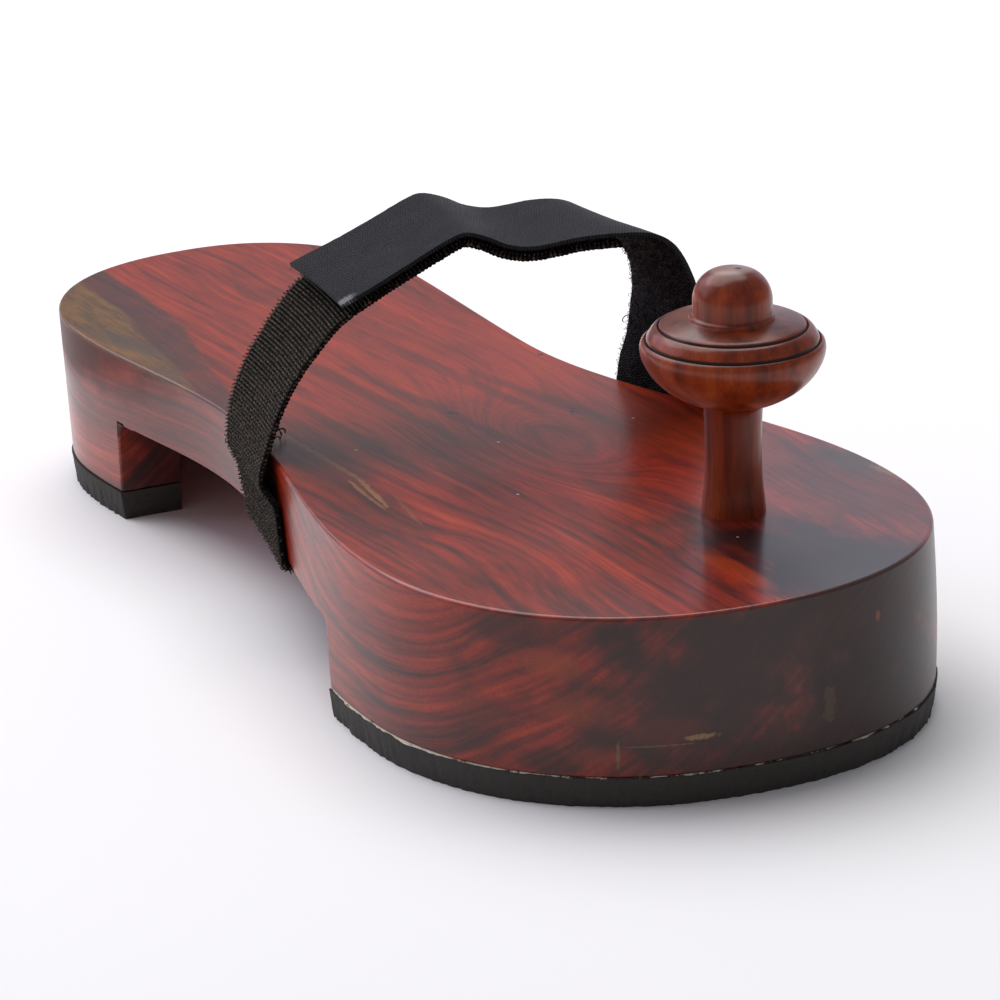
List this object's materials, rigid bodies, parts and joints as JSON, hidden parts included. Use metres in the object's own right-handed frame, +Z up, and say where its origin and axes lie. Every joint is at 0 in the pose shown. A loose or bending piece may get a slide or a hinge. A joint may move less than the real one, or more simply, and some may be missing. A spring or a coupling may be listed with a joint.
{
  "type": "toe-knob sandal",
  "caption": "Right-foot wooden toe-knob sandal: carved sole with heel and forefoot blocks, turned toe knob, black hook-and-loop instep strap and rubber pads.",
  "frame": {"origin": "middle of the sandal's box, on the floor under its pads", "axes": "+Z up from the floor, heel towards +Y and toe towards -Y, big-toe side at +X"},
  "size_m": [0.1182, 0.266, 0.0889],
  "materials": {
    "sole_wood": "carved red hardwood, polished",
    "knob_wood": "turned red hardwood, polished",
    "pad_rubber": "cut sheet rubber, matte",
    "hook_tape": "woven nylon hook tape",
    "loop_tape": "woven nylon loop tape"
  },
  "bodies": {
    "root": {"wood_sole": "sole_wood", "toe_knob": "knob_wood", "forefoot_pad": "pad_rubber", "heel_pad": "pad_rubber", "strap_hook_half": "hook_tape", "strap_loop_half": "loop_tape"}
  },
  "joints": []
}
